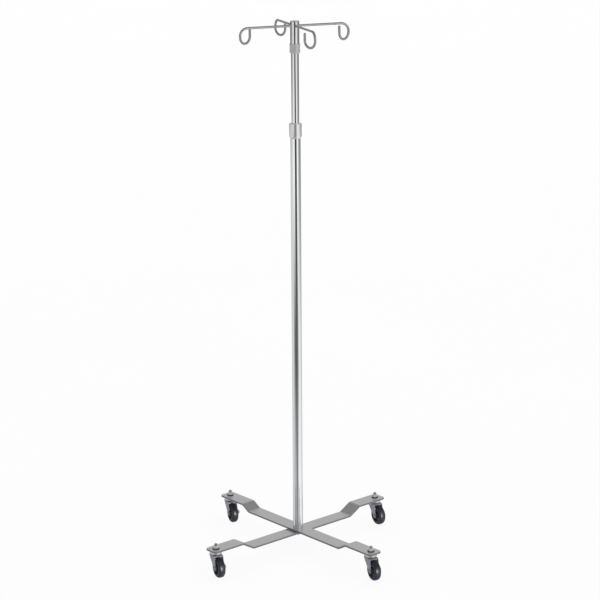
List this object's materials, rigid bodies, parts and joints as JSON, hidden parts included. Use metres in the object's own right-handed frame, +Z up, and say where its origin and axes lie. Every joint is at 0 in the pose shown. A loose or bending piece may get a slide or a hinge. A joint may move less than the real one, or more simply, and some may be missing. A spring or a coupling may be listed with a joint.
{
  "type": "infusion stand",
  "caption": "Telescoping infusion stand with lift-off bag hooks, a twist clutch, a crossed flat-bar base and swivel casters.",
  "frame": {"origin": "on the floor, under the pole's axis", "axes": "+Z up along the pole; -Y is the front; the leg bars lie on the diagonals, with a caster at each end"},
  "size_m": [0.4396, 0.4502, 1.3624],
  "materials": {
    "chrome_plate": "bright nickel-chrome plate on steel tube and rod",
    "satin_steel_bar": "flat grey satin steel bar, blasted and clear coated",
    "satin_ferrule": "satin grey",
    "cap_steel": "pressed and plated",
    "zinc_plate": "bright zinc plate",
    "dark_spring_steel": "black phosphate",
    "bearing_steel": "polished",
    "black_tyre": "hard, glossy black",
    "black_wheel_core": "moulded black nylon",
    "natural_nylon": "natural nylon",
    "turned_brass": "turned",
    "plain_steel": "turned"
  },
  "bodies": {
    "base": {"upper_leg_bar": "satin_steel_bar", "lower_leg_bar": "satin_steel_bar", "outer_tube": "chrome_plate", "tube_foot_plug": "plain_steel", "base_bolt": "zinc_plate", "base_flat_washer": "zinc_plate", "base_lock_washer": "dark_spring_steel", "stem_nuts": "zinc_plate", "stem_lock_washers": "dark_spring_steel", "kingpin_retainers": "zinc_plate", "clutch_bushing": "turned_brass", "clutch_collet": "natural_nylon", "front_left_caster_stem": "zinc_plate", "front_right_caster_stem": "zinc_plate", "back_left_caster_stem": "zinc_plate", "back_right_caster_stem": "zinc_plate"},
    "clutch_collar": {"clutch_collar": "chrome_plate"},
    "pole_guide": {"guide_bush": "natural_nylon"},
    "inner_pole": {"inner_tube": "chrome_plate", "tube_end_plug": "natural_nylon", "bush_retaining_ring": "dark_spring_steel", "top_ferrule": "satin_ferrule"},
    "hook_top": {"hook_post": "chrome_plate", "post_cap": "cap_steel", "hook_right": "chrome_plate", "hook_back": "chrome_plate", "hook_left": "chrome_plate", "hook_front": "chrome_plate"},
    "front_left_swivel": {"front_left_fork": "zinc_plate", "front_left_bearing_balls": "bearing_steel", "front_left_axle_bolt": "zinc_plate", "front_left_axle_nut": "zinc_plate", "front_left_axle_bushing": "zinc_plate"},
    "front_left_wheel": {"front_left_wheel_core": "black_wheel_core", "front_left_tyre": "black_tyre"},
    "front_right_swivel": {"front_right_fork": "zinc_plate", "front_right_bearing_balls": "bearing_steel", "front_right_axle_bolt": "zinc_plate", "front_right_axle_nut": "zinc_plate", "front_right_axle_bushing": "zinc_plate"},
    "front_right_wheel": {"front_right_wheel_core": "black_wheel_core", "front_right_tyre": "black_tyre"},
    "back_left_swivel": {"back_left_fork": "zinc_plate", "back_left_bearing_balls": "bearing_steel", "back_left_axle_bolt": "zinc_plate", "back_left_axle_nut": "zinc_plate", "back_left_axle_bushing": "zinc_plate"},
    "back_left_wheel": {"back_left_wheel_core": "black_wheel_core", "back_left_tyre": "black_tyre"},
    "back_right_swivel": {"back_right_fork": "zinc_plate", "back_right_bearing_balls": "bearing_steel", "back_right_axle_bolt": "zinc_plate", "back_right_axle_nut": "zinc_plate", "back_right_axle_bushing": "zinc_plate"},
    "back_right_wheel": {"back_right_wheel_core": "black_wheel_core", "back_right_tyre": "black_tyre"}
  },
  "joints": [
    {"name": "collar_twist", "type": "hinge", "parent": "base", "child": "clutch_collar", "pos_m": [0, 0, 1.09], "axis": [0, 0, 1], "range_deg": [0, 90]},
    {"name": "pole_height", "type": "slide", "parent": "base", "child": "pole_guide", "axis": [0, 0, 1], "range_m": [-0.05, 0.8]},
    {"name": "pole_turn", "type": "hinge", "parent": "pole_guide", "child": "inner_pole", "pos_m": [0, 0, 1.09], "axis": [0, 0, 1], "continuous": true},
    {"name": "hook_top_lift", "type": "slide", "parent": "inner_pole", "child": "hook_top", "axis": [0, 0, 1], "range_m": [0, 0.04]},
    {"name": "front_left_swivel_turn", "type": "hinge", "parent": "base", "child": "front_left_swivel", "pos_m": [-0.19339, -0.19339, 0.065], "axis": [0, 0, 1], "continuous": true},
    {"name": "front_left_wheel_roll", "type": "hinge", "parent": "front_left_swivel", "child": "front_left_wheel", "pos_m": [-0.18491, -0.2087, 0.0254], "axis": [0.8746, 0.4848, 0], "continuous": true},
    {"name": "front_right_swivel_turn", "type": "hinge", "parent": "base", "child": "front_right_swivel", "pos_m": [0.19339, -0.19339, 0.065], "axis": [0, 0, 1], "continuous": true},
    {"name": "front_right_wheel_roll", "type": "hinge", "parent": "front_right_swivel", "child": "front_right_wheel", "pos_m": [0.20188, -0.2087, 0.0254], "axis": [0.8746, 0.4848, 0], "continuous": true},
    {"name": "back_left_swivel_turn", "type": "hinge", "parent": "base", "child": "back_left_swivel", "pos_m": [-0.19339, 0.19339, 0.065], "axis": [0, 0, 1], "continuous": true},
    {"name": "back_left_wheel_roll", "type": "hinge", "parent": "back_left_swivel", "child": "back_left_wheel", "pos_m": [-0.186, 0.17753, 0.0254], "axis": [0.9063, 0.4226, 0], "continuous": true},
    {"name": "back_right_swivel_turn", "type": "hinge", "parent": "base", "child": "back_right_swivel", "pos_m": [0.19339, 0.19339, 0.065], "axis": [0, 0, 1], "continuous": true},
    {"name": "back_right_wheel_roll", "type": "hinge", "parent": "back_right_swivel", "child": "back_right_wheel", "pos_m": [0.20318, 0.17889, 0.0254], "axis": [0.829, 0.5592, 0], "continuous": true}
  ]
}
